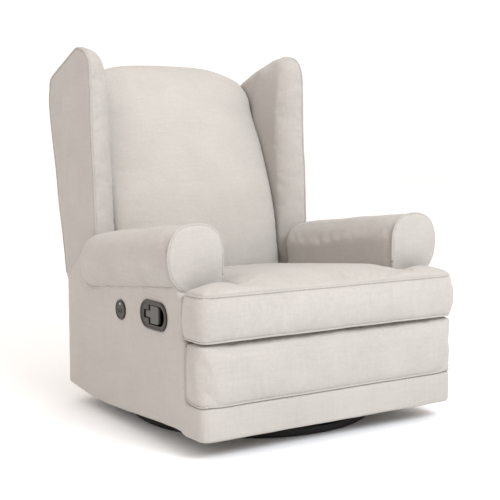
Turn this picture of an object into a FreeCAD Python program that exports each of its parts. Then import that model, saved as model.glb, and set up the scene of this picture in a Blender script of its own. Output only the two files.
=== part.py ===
import FreeCAD, Part
import math
import os

# Wingback nursery glider, in millimetres. The origin is on the floor at the swivel axis,
# +Z is up and -Y is the front. Left and right are as seen from the front, left is -X.

V = FreeCAD.Vector
os.makedirs("parts", exist_ok=True)

# ---- gaps and small stock ----
fit_gap = 0.3              # between a soft piece and what carries it, and round a pocket
running_gap = 0.3          # round a pin that turns
wire_radius = 1.8          # sinuous spring wire
plate = 4.0                # pressed steel plate of the mechanism

# ---- body box ----
body_half_width = 416.0
body_front = -418.5
body_rear = 391.5
side_thickness = 28.0      # padded side panel
plinth_thickness = 18.0
plinth_bottom = 45.0
plinth_top = 132.0
rear_panel_thickness = 19.5
rear_panel_top = 300.0
side_inner = body_half_width - side_thickness
panel_front = body_front + plinth_thickness
rear_panel_front = body_rear - rear_panel_thickness

# ---- seat cushion ----
seat_bottom = 294.0
seat_bar_depth = 98.5      # the bar of the T in front of the arms
seat_bulge = 11.5
seat_welt = 415.0
seat_crown = 441.0
seat_rear_top = 388.0
seat_rear = 228.0          # where the back cushion meets the seat
seat_tuck_top = 341.0      # the seat's thinner end runs back under the back cushion
seat_tuck_rear = 322.0
seat_bar_rear = body_front + seat_bar_depth

# ---- arms ----
arm_inner = body_half_width - 131.0
arm_outer = body_half_width + 28.0
arm_front = -305.5
arm_panel_thickness = 13.5
arm_rear = 250.0
arm_top = 583.0
arm_roll_bottom = 425.0    # lower edge of the arm roll at the front
arm_pad_bottom = 330.0
arm_slope = 0.111          # drop per millimetre towards the rear
arm_board_thickness = 16.0
arm_board_inner = body_half_width - 70.0
arm_board_bottom = 215.0
seat_half_width = arm_inner - 2.0

# ---- wings and back ----
wing_inner = body_half_width - 113.5
wing_outer = side_inner - 3.0
wing_front = 253.0
wing_top = 1070.0
wing_bottom = 345.0
wing_board_thickness = 14.0
wing_board_inner = body_half_width - 81.0
back_lean = 0.2203         # rearward run per millimetre of height
back_rear_low = 472.5      # rear face of the back at back_low
back_low = 375.0
back_bend = wing_top - 182.0    # the rear face leans up to here and stands upright above
back_panel_top = wing_top - 95.0
back_panel_bottom = 335.0
back_panel_thickness = 14.0
back_rail_depth = 41.0
back_pad_half_width = arm_inner - 0.5
back_pad_bottom = 345.0
back_frame_top = wing_top - 170.0
back_post_inner = body_half_width - 160.0
recline_y = 371.5
recline_z = 330.0
recline_pin_radius = 6.0
recline_ear_inner = body_half_width - 127.0
recline_ear_thickness = 5.5
recline_plate_thickness = 4.5
recline_plate_inner = recline_ear_inner + 7.5

# ---- wooden seat frame ----
rail_top = seat_bottom - fit_gap - 2 * wire_radius - 0.1
rail_bottom = 210.0
side_rail_inner = body_half_width - 106.0
side_rail_thickness = 35.0
front_rail_front = -285.0
front_rail_thickness = 22.0
rear_rail_front = 330.0
rear_rail_thickness = 22.0
cross_rail_y = 150.0
cross_rail_width = 40.0
cross_rail_bottom = 240.0
cross_rail_height = 28.0

# ---- floor base and swivel ----
ring_outer = 354.0
ring_width = 28.0
ring_bottom = 3.0
ring_height = 22.0
hub_radius = 95.0
hub_bottom = 5.0
hub_top = 24.0
spoke_width = 40.0
spoke_height = 15.0
race_inner = 60.0
race_outer = 86.0
race_height = 6.5
race_gap = 2.0
ball_radius = 3.0
ball_count = 18
cage_thickness = 0.8
bolt_radius = 10.0
bolt_head_radius = 18.0
bolt_head_height = 6.0

# ---- glider mechanism ----
turntable_thickness = 5.0
turntable_half_length = 155.0
hanger_inner = 215.0
hanger_thickness = 5.0
hanger_half_length = 150.0
hanger_flange = 30.0
hanger_top = 226.0
swing_y = 130.0            # front and rear swing links stand this far from the swivel axis
swing_top = 212.0
swing_length = 130.0
swing_thickness = 6.0
swing_half_width = 12.0
swing_pin_radius = 5.0
side_play = 1.5            # between neighbouring plates on one pin
carriage_half_length = 175.0
swing_inner = hanger_inner + hanger_thickness + side_play
carriage_inner = swing_inner + swing_thickness + side_play
turntable_bottom = hub_top + 2 * race_height + race_gap
turntable_top = turntable_bottom + turntable_thickness
swing_low = swing_top - swing_length
carriage_bottom = swing_low - 18.0

# ---- footrest and its links ----
footrest_depth = 84.0
footrest_bottom = 138.0
footrest_top = 282.0
footrest_edge_radius = 18.0
footrest_hem_radius = 10.0
footrest_board_thickness = 15.0
footrest_board_inset = 20.0
lower_link = 150.0
upper_link = 140.0
link_thickness = 5.0
link_half_width = 10.0
link_pin_radius = 5.0
link_play = 2.0
torque_tube_radius = 8.0
torque_tube_wall = 2.0
pivot_a_y = -308.5         # lower link on the mechanism plate
pivot_a_z = 272.0
pivot_p_y = -324.0         # upper link on the footrest bracket
pivot_p_z = 262.0
mechanism_rear = 200.0
mechanism_bottom = 215.0
mechanism_top = 284.0
mechanism_inner = side_rail_inner - plate
lower_link_outer = mechanism_inner - link_play
upper_link_outer = lower_link_outer - link_thickness - link_play
bracket_outer = upper_link_outer - link_thickness - link_play
footrest_rear = body_front + footrest_depth

# ---- release handle on the left side ----
bezel_y = -171.5
bezel_z = 338.0
bezel_length = 145.0
bezel_height = 76.0
bezel_lip = 3.5
bezel_rim = 12.0
cup_depth = 26.0
cup_wall = 2.5
lever_pivot_y = bezel_y + bezel_length / 2 - 27.0
lever_pivot_inset = 9.0    # behind the side panel's face
lever_pin_radius = 1.8
lever_thickness = 6.0
lever_stem_height = 18.0
lever_stem_length = 24.0
lever_paddle_width = 46.0
lever_paddle_height = 48.0
bezel_slot_height = 22.0    # the stem lies in a slot of the bezel's rear half
bezel_slot_rear = 7.5       # behind the pivot
lever_barrel_radius = 4.6
cable_diameter = 4.0
cable_hole_radius = 8.0
latch_front = -50.0

# ---- charging port on the left side ----
port_y = 24.5
port_z = 327.0
port_radius = 27.5
port_barrel_radius = 21.0
port_lip = 3.0
port_depth = side_thickness
port_plug_bottom = 300.0    # the lead plugs in under the port, behind the panel
socket_width = 13.0
socket_height = 5.2
socket_pitch = 14.0
led_radius = 1.6

# ---- low-voltage inlet at the rear ----
inlet_x = 116.0 - body_half_width
inlet_z = 90.0
inlet_radius = 8.0
inlet_lip_radius = 11.0
inlet_lip = 2.5
inlet_depth = 24.0
inlet_bore = 3.2


def save(name, shape):
    shape.exportStep(os.path.join("parts", name + ".step"))


def block(x_from, x_to, y_from, y_to, z_from, z_to):
    return Part.makeBox(x_to - x_from, y_to - y_from, z_to - z_from, V(x_from, y_from, z_from))


def rod_x(x_from, x_to, y, z, radius):
    return Part.makeCylinder(radius, x_to - x_from, V(x_from, y, z), V(1, 0, 0))


def rod_y(y_from, y_to, x, z, radius):
    return Part.makeCylinder(radius, y_to - y_from, V(x, y_from, z), V(0, 1, 0))


def rod_z(z_from, z_to, x, y, radius):
    return Part.makeCylinder(radius, z_to - z_from, V(x, y, z_from), V(0, 0, 1))


def washer_z(z_from, z_to, inner, outer):
    return rod_z(z_from, z_to, 0, 0, outer).cut(rod_z(z_from - 1, z_to + 1, 0, 0, inner))


def outline(start, legs):
    """A flat face. A leg is the next corner, or a list of a point on an arc and the arc's end."""
    edges = []
    here = start
    for leg in legs + [start]:
        if isinstance(leg, list):
            edges.append(Part.Arc(here, leg[0], leg[1]).toShape())
            here = leg[1]
        elif not here.isEqual(leg, 1e-6):
            edges.append(Part.LineSegment(here, leg).toShape())
            here = leg
    return Part.Face(Part.Wire(edges))


def side_profile(x_from, x_to, start, legs):
    """A profile of (y, z) corners, drawn in the plane x_from and pushed along X to x_to."""
    def place(leg):
        if isinstance(leg, list):
            return [V(x_from, *leg[0]), V(x_from, *leg[1])]
        return V(x_from, *leg)
    return outline(place(start), [place(leg) for leg in legs]).extrude(V(x_to - x_from, 0, 0))


def on_right(shape):
    return shape.mirror(V(0, 0, 0), V(1, 0, 0))


def pair(left):
    return Part.makeCompound([left, on_right(left)])


def link_bar(x_from, x_to, a, b, half_width, hole_a, hole_b):
    """A flat bar with round ends between two (y, z) pivots, with a hole at each."""
    run = V(0, b[0] - a[0], b[1] - a[1])
    side = V(0, -run.z, run.y).normalize() * half_width
    pa = V(x_from, *a)
    pb = V(x_from, *b)
    web = outline(pa + side, [pb + side, pb - side, pa - side]).extrude(V(x_to - x_from, 0, 0))
    bar = web.fuse(rod_x(x_from, x_to, a[0], a[1], half_width))
    bar = bar.fuse(rod_x(x_from, x_to, b[0], b[1], half_width)).removeSplitter()
    bar = bar.cut(rod_x(x_from - 1, x_to + 1, a[0], a[1], hole_a))
    return bar.cut(rod_x(x_from - 1, x_to + 1, b[0], b[1], hole_b))


def smooth_tube(points, diameter, label):
    """A cable: straight runs joined by tangent arcs as large as the runs allow."""
    path = [V(*p) for p in points]
    edges = []
    here = path[0]
    radii = []
    for before, corner, after in zip(path, path[1:], path[2:]):
        run_in = (corner - before).Length
        run_out = (after - corner).Length
        way_in = (corner - before).normalize()
        way_out = (after - corner).normalize()
        half_turn = way_in.getAngle(way_out) / 2
        setback = 0.45 * min(run_in, run_out)
        radius = setback / math.tan(half_turn)
        radii.append(round(radius, 1))
        start = corner - way_in * setback
        end = corner + way_out * setback
        bisector = (way_out - way_in).normalize()
        middle = corner + bisector * (radius / math.cos(half_turn) - radius)
        edges.append(Part.LineSegment(here, start).toShape())
        edges.append(Part.Arc(start, middle, end).toShape())
        here = end
    edges.append(Part.LineSegment(here, path[-1]).toShape())
    spine = Part.Wire(edges)
    ring = Part.Wire([Part.makeCircle(diameter / 2, path[0], path[1] - path[0])])
    tube = spine.makePipeShell([ring], True, True)
    expected = math.pi * diameter ** 2 / 4 * spine.Length
    print(label, "length", round(spine.Length, 1), "volume ratio", round(tube.Volume / expected, 4),
          "radii", radii)
    return tube


def sinuous_spring(length, width, turns):
    """A flat zigzag of wire along +Y from the origin, its plane at Z 0."""
    pitch = length / turns
    bend = pitch / 2
    reach = width / 2 - bend
    edges = []
    here = V(0, 0, 0)
    for turn in range(turns):
        side = 1 if turn % 2 == 0 else -1
        corner = V(side * reach, turn * pitch, 0)
        far = V(side * reach, (turn + 1) * pitch, 0)
        middle = V(side * (reach + bend), (turn + 0.5) * pitch, 0)
        edges.append(Part.LineSegment(here, corner).toShape())
        edges.append(Part.Arc(corner, middle, far).toShape())
        here = far
    edges.append(Part.LineSegment(here, V(0, turns * pitch, 0)).toShape())
    ring = Part.Wire([Part.makeCircle(wire_radius, V(0, 0, 0), V(1, 0, 0))])
    return Part.Wire(edges).makePipeShell([ring], True, True)


def rear_of_back(z):
    """Rear face of the leaning back at height z."""
    return back_rear_low + (min(z, back_bend) - back_low) * back_lean


def arm_height(z_at_front, y):
    """A line that slopes down to the rear with the arm."""
    return z_at_front - arm_slope * (y - arm_front)


def knee():
    """The pin between the two footrest links, from the lengths of the links."""
    dy = pivot_p_y - pivot_a_y
    dz = pivot_p_z - pivot_a_z
    span = math.hypot(dy, dz)
    along = (lower_link ** 2 - upper_link ** 2 + span ** 2) / (2 * span)
    off = math.sqrt(lower_link ** 2 - along ** 2)
    y = pivot_a_y + along * dy / span + off * dz / span
    z = pivot_a_z + along * dz / span - off * dy / span
    if z > pivot_a_z:
        y = pivot_a_y + along * dy / span - off * dz / span
        z = pivot_a_z + along * dz / span + off * dy / span
    return (y, z)


# ---- floor base ----
def base_ring():
    ring = washer_z(ring_bottom, ring_bottom + ring_height, ring_outer - ring_width, ring_outer)
    outer_edges = [e for e in ring.Edges if abs(e.BoundBox.XMax - ring_outer) < 0.01
                   and e.BoundBox.ZLength < 0.01]
    return ring.makeFillet(4.0, outer_edges)


def base_foot_ring():
    inset = ring_width / 4
    return washer_z(0, ring_bottom, ring_outer - ring_width + inset, ring_outer - inset)


def base_hub():
    hub = rod_z(hub_bottom, hub_top, 0, 0, hub_radius)
    return hub.cut(rod_z(hub_bottom - 1, hub_top + 1, 0, 0, bolt_radius))


def base_spokes():
    bottom = ring_bottom + 3
    annulus = washer_z(bottom, bottom + spoke_height, hub_radius, ring_outer - ring_width)
    half = spoke_width / 2
    reach = ring_outer
    arms = [
        block(0, reach, -half, half, bottom, bottom + spoke_height),
        block(-reach, 0, -half, half, bottom, bottom + spoke_height),
        block(-half, half, 0, reach, bottom, bottom + spoke_height),
        block(-half, half, -reach, 0, bottom, bottom + spoke_height),
    ]
    return Part.makeCompound([arm.common(annulus) for arm in arms])


def ball_groove():
    middle = (race_inner + race_outer) / 2
    return Part.makeTorus(middle, ball_radius + running_gap, V(0, 0, ball_height()))


def ball_height():
    return hub_top + race_height + race_gap / 2


def swivel_race(bottom):
    return washer_z(bottom, bottom + race_height, race_inner, race_outer).cut(ball_groove())


def swivel_balls(radius):
    middle = (race_inner + race_outer) / 2
    balls = []
    for i in range(ball_count):
        angle = 2 * math.pi * i / ball_count
        centre = V(middle * math.cos(angle), middle * math.sin(angle), ball_height())
        balls.append(Part.makeSphere(radius, centre))
    return balls


def swivel_cage():
    half = cage_thickness / 2
    cage = washer_z(ball_height() - half, ball_height() + half, race_inner + 5, race_outer - 5)
    for pocket in swivel_balls(ball_radius + running_gap):
        cage = cage.cut(pocket)
    return cage


def swivel_bolt():
    seat = turntable_top + running_gap
    shank = rod_z(hub_bottom, seat, 0, 0, bolt_radius)
    return shank.fuse(rod_z(seat, seat + bolt_head_height, 0, 0, bolt_head_radius)).removeSplitter()


# ---- glider mechanism ----
def turntable_plate():
    edge = hanger_inner + hanger_thickness
    table = block(-edge, edge, -turntable_half_length, turntable_half_length,
                  turntable_bottom, turntable_top)
    return table.cut(rod_z(0, turntable_top + 1, 0, 0, bolt_radius + running_gap))


def hanger_frame():
    outer = hanger_inner + hanger_thickness
    half = hanger_half_length
    web = side_profile(-outer, -hanger_inner, (-half, turntable_top),
                       [(half, turntable_top), (swing_y + 16, hanger_top),
                        (-swing_y - 16, hanger_top)])
    foot = block(-outer, -hanger_inner + hanger_flange, -half, half,
                 turntable_top, turntable_top + hanger_thickness)
    frame = web.fuse(foot).removeSplitter()
    for y in (-swing_y, swing_y):
        frame = frame.cut(rod_x(-outer - 1, -hanger_inner + 1, y, swing_top, swing_pin_radius))
    return frame


def hanger_pins():
    outer_end = -(carriage_inner - 0.5)
    pins = [rod_x(outer_end, -hanger_inner + side_play, y, swing_top, swing_pin_radius)
            for y in (-swing_y, swing_y)]
    return Part.makeCompound(pins + [on_right(pin) for pin in pins])


def swing_links(y):
    hole = swing_pin_radius + running_gap
    return pair(link_bar(-swing_inner - swing_thickness, -swing_inner, (y, swing_top), (y, swing_low),
                         swing_half_width, hole, hole))


def carriage_plate():
    outer = carriage_inner + plate
    half = carriage_half_length
    web = block(-outer, -carriage_inner, -half, half, carriage_bottom, cross_rail_bottom)
    flange = block(-outer - hanger_flange, -carriage_inner, -half, half,
                   cross_rail_bottom - plate, cross_rail_bottom)
    carriage = web.fuse(flange).removeSplitter()
    for y in (-swing_y, swing_y):
        carriage = carriage.cut(rod_x(-outer - 1, -carriage_inner + 1, y, swing_low, swing_pin_radius))
    return carriage


def chassis_pins():
    """Every pin that is pressed into the chassis: swing links, footrest links and back."""
    outer_end = -(carriage_inner + plate + side_play)
    inner_end = -(hanger_inner + hanger_thickness + 0.5)
    pins = [rod_x(outer_end, inner_end, y, swing_low, swing_pin_radius) for y in (-swing_y, swing_y)]
    pins.append(footrest_anchor_pin())
    pins.append(recline_pin())
    return Part.makeCompound(pins + [on_right(pin) for pin in pins])


# ---- wooden seat frame ----
def side_rail():
    return block(-side_rail_inner - side_rail_thickness, -side_rail_inner,
                 front_rail_front, rear_rail_front, rail_bottom, rail_top)


def front_rail():
    return block(-mechanism_inner, mechanism_inner, front_rail_front,
                 front_rail_front + front_rail_thickness, rail_bottom, rail_top)


def rear_rail():
    half = side_rail_inner + side_rail_thickness
    return block(-half, half, rear_rail_front, rear_rail_front + rear_rail_thickness,
                 rail_bottom, rail_top)


def cross_rails():
    rails = []
    for y in (-cross_rail_y, cross_rail_y):
        rails.append(block(-mechanism_inner, mechanism_inner, y - cross_rail_width / 2,
                           y + cross_rail_width / 2, cross_rail_bottom,
                           cross_rail_bottom + cross_rail_height))
    return Part.makeCompound(rails)


def seat_springs():
    front = front_rail_front + front_rail_thickness / 2
    rear = rear_rail_front + rear_rail_thickness / 2
    height = rail_top + 0.1 + wire_radius
    springs = []
    for x in (-200, -100, 0, 100, 200):
        spring = sinuous_spring(rear - front, 56.0, 18)
        spring.translate(V(x, front, height))
        springs.append(spring)
    return Part.makeCompound(springs)


def frame_blocks():
    """Glue blocks: in the corners of the body, and between the arm boards and the side panels."""
    wide = 28.0
    blocks = [
        block(-side_inner, -side_inner + wide, panel_front, panel_front + wide,
              plinth_bottom + 10, plinth_top - 2),
        block(-side_inner, -side_inner + wide, rear_panel_front - wide, rear_panel_front,
              plinth_bottom + 10, rear_panel_top - 10),
    ]
    inner = arm_board_inner + arm_board_thickness
    for y in (-260, 180):
        blocks.append(block(-side_inner, -inner, y, y + 40, arm_board_bottom, arm_board_bottom + 60))
    return Part.makeCompound(blocks + [on_right(one) for one in blocks])


# ---- upholstered body ----
def side_panel():
    low_edge = plinth_bottom + 5
    panel = side_profile(
        -body_half_width, -side_inner, (panel_front, low_edge),
        [(panel_front, plinth_top), (footrest_rear + 2, plinth_top),
         (footrest_rear + 2, seat_bottom - 2), (seat_bar_rear + 2, seat_bottom - 2),
         (seat_bar_rear + 2, arm_height(arm_roll_bottom, seat_bar_rear + 2) - fit_gap),
         (arm_rear + 8, arm_height(arm_roll_bottom, arm_rear + 8) - fit_gap),
         (arm_rear + 8, 497), (arm_rear + 22, 497),
         (body_rear, 380), (body_rear, 52),
         [(130, 37), (-285, 56)], (-326, 52)])
    return panel


def stadium(x_from, x_to, y, z, length, height):
    """A slot shape along Y with round ends, pushed along X."""
    radius = height / 2
    half = length / 2 - radius
    body = block(x_from, x_to, y - half, y + half, z - radius, z + radius)
    body = body.fuse(rod_x(x_from, x_to, y - half, z, radius))
    return body.fuse(rod_x(x_from, x_to, y + half, z, radius)).removeSplitter()


def left_side_panel():
    panel = side_panel()
    cup_hole = stadium(-body_half_width - 1, -side_inner + 1, bezel_y, bezel_z,
                       bezel_length - 2 * bezel_rim + 2 * cup_wall + 2 * fit_gap,
                       bezel_height - 2 * bezel_rim + 2 * cup_wall + 2 * fit_gap)
    panel = panel.cut(cup_hole)
    return panel.cut(rod_x(-body_half_width - 1, -side_inner + 1, port_y, port_z,
                           port_barrel_radius + fit_gap))


def front_plinth():
    return block(-body_half_width, body_half_width, body_front, panel_front, plinth_bottom, plinth_top)


def rear_panel():
    panel = block(-side_inner, side_inner, rear_panel_front, body_rear, 52, rear_panel_top)
    return panel.cut(rod_y(rear_panel_front - 1, body_rear + 1, inlet_x, inlet_z, inlet_radius))


def seat_cushion():
    front = body_front
    mid = (seat_bottom + seat_welt) / 2
    nose = [(front - seat_bulge, mid), (front, seat_welt - 4)]
    main = side_profile(
        -seat_half_width, seat_half_width, (front, seat_bottom),
        [nose, [(front + 14, seat_welt + 14), (front + 50, seat_crown)],
         (seat_bar_rear, seat_crown), (seat_rear, seat_rear_top), (seat_rear, seat_tuck_top),
         (seat_tuck_rear, seat_tuck_top), (seat_tuck_rear, seat_bottom)])
    bar = side_profile(
        -body_half_width, body_half_width, (front, seat_bottom),
        [nose, (front + 8, seat_welt), (seat_bar_rear, seat_welt), (seat_bar_rear, seat_bottom)])
    return main.fuse(bar).removeSplitter()


# ---- arms ----
def arm_solid():
    """The whole left arm, pushed along the slope from its front face to its rear end."""
    y = arm_front
    start = V(-arm_inner, y, arm_pad_bottom - 80)
    legs = [
        V(-arm_inner, y, arm_top - 68),
        [V(-arm_inner - 21, y, arm_top - 20), V(-arm_outer + 82, y, arm_top)],
        [V(-arm_outer + 17, y, arm_top - 21), V(-arm_outer, y, arm_top - 71)],
        [V(-arm_outer + 8, y, arm_roll_bottom + 39), V(-arm_outer + 32, y, arm_roll_bottom)],
        V(-side_inner + 0.5, y, arm_roll_bottom),
        V(-side_inner + 0.5, y, arm_pad_bottom - 80),
    ]
    length = arm_rear - arm_front
    arm = outline(start, legs).extrude(V(0, length, -arm_slope * length))
    return arm.cut(block(-arm_outer - 10, 0, arm_front - 1, arm_rear + 1, 0, arm_pad_bottom))


def arm_split():
    return arm_front + arm_panel_thickness


def arm_front_panel():
    return arm_solid().common(block(-arm_outer - 10, 0, arm_front - 1, arm_split(), 0, wing_top))


def arm_board():
    y_from = arm_split() + 12
    y_to = arm_rear - 15
    top = arm_top - 75
    return side_profile(-arm_board_inner - arm_board_thickness, -arm_board_inner,
                        (y_from, arm_board_bottom),
                        [(y_from, arm_height(top, y_from)), (y_to, arm_height(top, y_to)),
                         (y_to, arm_board_bottom)])


def arm_pad():
    pad = arm_solid().common(block(-arm_outer - 10, 0, arm_split(), arm_rear + 1, 0, wing_top))
    y_from = arm_split() + 12 - fit_gap
    y_to = arm_rear - 15 + fit_gap
    top = arm_top - 75 + fit_gap
    slot = side_profile(-arm_board_inner - arm_board_thickness - fit_gap, -arm_board_inner + fit_gap,
                        (y_from, arm_board_bottom),
                        [(y_from, arm_height(top, y_from)), (y_to, arm_height(top, y_to)),
                         (y_to, arm_board_bottom)])
    return pad.cut(slot)


# ---- back ----
def wing_board(gap):
    bottom = wing_bottom - (1 if gap else 0)
    return side_profile(
        -wing_board_inner - wing_board_thickness - gap, -wing_board_inner + gap,
        (290 - gap, bottom),
        [(300 - gap, back_frame_top + gap),
         (rear_of_back(back_bend) - 85.5 + gap, back_frame_top + gap),
         (rear_of_back(wing_bottom) - 24 + gap, bottom)])


def wing():
    rear = rear_of_back(back_bend)
    shape = side_profile(
        -wing_outer, -wing_inner, (wing_front, wing_bottom),
        [(wing_front, 530), (wing_front + 20.5, wing_top - 250), (wing_front + 26, wing_top - 90),
         [(wing_front + 42, wing_top - 30), (wing_front + 92, wing_top - 2)],
         [(wing_front + 117, wing_top), (wing_front + 142, wing_top - 8)],
         (rear - 17.5, wing_top - 80), [(rear - 2.5, wing_top - 125), (rear, back_bend)],
         (rear_of_back(back_low), back_low), (rear_of_back(back_low) - 20, wing_bottom)])
    return shape.cut(wing_board(fit_gap))


def back_post():
    depth_rear = back_panel_thickness + fit_gap
    low = 345.0
    step = 505.0
    def leaning(x_from, x_to, z_from, z_to):
        return side_profile(
            x_from, x_to, (rear_of_back(z_from) - depth_rear - back_rail_depth, z_from),
            [(rear_of_back(z_from) - depth_rear, z_from), (rear_of_back(z_to) - depth_rear, z_to),
             (rear_of_back(z_to) - depth_rear - back_rail_depth, z_to)])
    narrow = leaning(-recline_plate_inner, -back_post_inner, low, step)
    top = back_bend
    return narrow.fuse(leaning(-wing_inner + fit_gap, -back_post_inner, step, top)).removeSplitter()


def back_rails():
    depth_rear = back_panel_thickness + fit_gap
    rails = []
    heights = ((352, 400), (back_bend - 268, back_bend - 228), (back_bend - 48, back_bend - 8))
    for z_from, z_to in heights:
        rails.append(side_profile(
            -back_post_inner, back_post_inner,
            (rear_of_back(z_from) - depth_rear - back_rail_depth, z_from),
            [(rear_of_back(z_from) - depth_rear, z_from), (rear_of_back(z_to) - depth_rear, z_to),
             (rear_of_back(z_to) - depth_rear - back_rail_depth, z_to)]))
    return Part.makeCompound(rails)


def spring_plane(z):
    """Centre of the back springs, just in front of the rails."""
    across = (0.1 + wire_radius) / math.cos(math.atan(back_lean))
    return rear_of_back(z) - back_panel_thickness - fit_gap - back_rail_depth - across


def back_springs():
    low = 376.0
    high = back_bend - 28
    slant = math.atan(back_lean)
    length = (high - low) / math.cos(slant)
    springs = []
    for x in (-180, -60, 60, 180):
        spring = sinuous_spring(length, 56.0, 16)
        spring.rotate(V(0, 0, 0), V(1, 0, 0), 90 - math.degrees(slant))
        spring.translate(V(x, spring_plane(low), low))
        springs.append(spring)
    return Part.makeCompound(springs)


def back_pad():
    across = (wire_radius + fit_gap) / math.cos(math.atan(back_lean))
    top_step = back_bend + fit_gap
    rear = rear_of_back(back_bend)
    return side_profile(
        -back_pad_half_width, back_pad_half_width, (seat_rear + 3, back_pad_bottom),
        [(seat_rear + 5, 400),
         [(seat_rear + 57, 0.553 * 400 + 0.447 * (wing_top - 133)), (rear - 130.5, wing_top - 133)],
         [(rear - 85.5, wing_top - 58), (rear - 29.5, wing_top - 42)],
         [(rear - 11.5, wing_top - 54), (rear - 7.5, back_panel_top + fit_gap)],
         (rear - 20.5, back_panel_top + fit_gap), (rear - 20.5, top_step),
         (spring_plane(top_step) - across, top_step),
         (spring_plane(back_pad_bottom) - across, back_pad_bottom)])


def back_outer_panel():
    half = wing_inner - fit_gap
    deep = back_panel_thickness
    return side_profile(
        -half, half, (rear_of_back(back_panel_bottom) - deep, back_panel_bottom),
        [(rear_of_back(back_panel_bottom), back_panel_bottom), (rear_of_back(back_bend), back_bend),
         (rear_of_back(back_bend) - 6, back_panel_top),
         (rear_of_back(back_bend) - 6 - deep, back_panel_top),
         (rear_of_back(back_bend) - deep, back_bend)])


def recline_ear():
    inner = recline_ear_inner
    outer = inner + recline_ear_thickness
    face = rear_rail_front + rear_rail_thickness
    web = side_profile(-outer, -inner, (face, mechanism_bottom),
                       [(rear_panel_front - 2, mechanism_bottom), (rear_panel_front - 2, 300),
                        (recline_y + 12, 314), (recline_y - 12, 340), (face, 300)])
    ear = web.fuse(rod_x(-outer, -inner, recline_y, recline_z, 14))
    foot = block(-inner, -inner + 34, face, face + plate, mechanism_bottom, 280)
    ear = ear.fuse(foot).removeSplitter()
    return ear.cut(rod_x(-outer - 1, -inner + 1, recline_y, recline_z, recline_pin_radius))


def recline_pin():
    outer = recline_plate_inner + recline_plate_thickness
    return rod_x(-outer - 0.5, -recline_ear_inner + 0.5, recline_y, recline_z, recline_pin_radius)


def recline_bracket():
    inner = recline_plate_inner
    outer = inner + recline_plate_thickness
    high = 500.0
    front_run = back_panel_thickness + back_rail_depth - 5
    web = side_profile(-outer, -inner, (recline_y - 9, recline_z + 9),
                       [(recline_y + 9, recline_z - 9), (445, 352),
                        (rear_of_back(high) - 20, high), (rear_of_back(high) - front_run, high),
                        (408, 372)])
    bracket = web.fuse(rod_x(-outer, -inner, recline_y, recline_z, 14)).removeSplitter()
    return bracket.cut(rod_x(-outer - 1, -inner + 1, recline_y, recline_z,
                             recline_pin_radius + running_gap))


# ---- footrest ----
def footrest_pad():
    hem = footrest_hem_radius
    edge = footrest_edge_radius
    front = body_front
    slant = math.sqrt(0.5)
    pad = side_profile(
        -body_half_width, body_half_width, (footrest_rear, footrest_bottom),
        [(front + hem, footrest_bottom),
         [(front + hem * (1 - slant), footrest_bottom + hem * (1 - slant)),
          (front, footrest_bottom + hem)],
         (front, footrest_top - edge),
         [(front + edge * (1 - slant), footrest_top - edge * (1 - slant)),
          (front + edge, footrest_top)],
         (footrest_rear, footrest_top)])
    return pad.cut(footrest_board(fit_gap))


def footrest_board(gap):
    half = body_half_width - footrest_board_inset + gap
    return block(-half, half, footrest_rear - footrest_board_thickness - gap, footrest_rear,
                 footrest_bottom + 12 - gap, footrest_top - 10 + gap)


def mechanism_plate():
    ear = link_half_width + 2
    shape = side_profile(-side_rail_inner, -mechanism_inner, (mechanism_rear, mechanism_bottom),
                         [(mechanism_rear, mechanism_top), (pivot_a_y - ear, mechanism_top),
                          (pivot_a_y - ear, pivot_a_z - ear), (pivot_a_y + 20, mechanism_bottom)])
    return shape.cut(rod_x(-side_rail_inner - 1, -mechanism_inner + 1, pivot_a_y, pivot_a_z,
                           link_pin_radius))


def lower_links():
    return pair(link_bar(-lower_link_outer, -lower_link_outer + link_thickness,
                         (pivot_a_y, pivot_a_z), knee(), link_half_width,
                         link_pin_radius + running_gap, link_pin_radius))


def torque_tube():
    half = lower_link_outer - link_thickness
    tube = rod_x(-half, half, pivot_a_y, pivot_a_z, torque_tube_radius)
    return tube.cut(rod_x(-half - 1, half + 1, pivot_a_y, pivot_a_z,
                          torque_tube_radius - torque_tube_wall))


def upper_links():
    return pair(link_bar(-upper_link_outer, -upper_link_outer + link_thickness,
                         knee(), (pivot_p_y, pivot_p_z), link_half_width,
                         link_pin_radius + running_gap, link_pin_radius))


def footrest_bracket():
    outer = bracket_outer
    inner = outer - link_thickness
    web = side_profile(-outer, -inner, (footrest_rear, 190),
                       [(footrest_rear, footrest_top - 12), (pivot_p_y, pivot_p_z + 8),
                        (pivot_p_y + 6, pivot_p_z - 6)])
    web = web.fuse(rod_x(-outer, -inner, pivot_p_y, pivot_p_z, link_half_width))
    foot = block(-inner, -inner + 32, footrest_rear, footrest_rear + 3, 180, footrest_top - 16)
    web = web.fuse(foot).removeSplitter()
    web = web.common(block(-400, 0, footrest_rear, 0, 0, 400))
    return web.cut(rod_x(-outer - 1, -inner + 1, pivot_p_y, pivot_p_z, link_pin_radius + running_gap))


def footrest_anchor_pin():
    return rod_x(-side_rail_inner, -lower_link_outer + link_thickness - 0.5,
                 pivot_a_y, pivot_a_z, link_pin_radius)


def knee_pins():
    y, z = knee()
    return pair(rod_x(-lower_link_outer - 0.5, -upper_link_outer + link_thickness + 0.5, y, z,
                      link_pin_radius))


def footrest_pins():
    return pair(rod_x(-upper_link_outer - 0.5, -bracket_outer + link_thickness + 0.5,
                      pivot_p_y, pivot_p_z, link_pin_radius))


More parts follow.
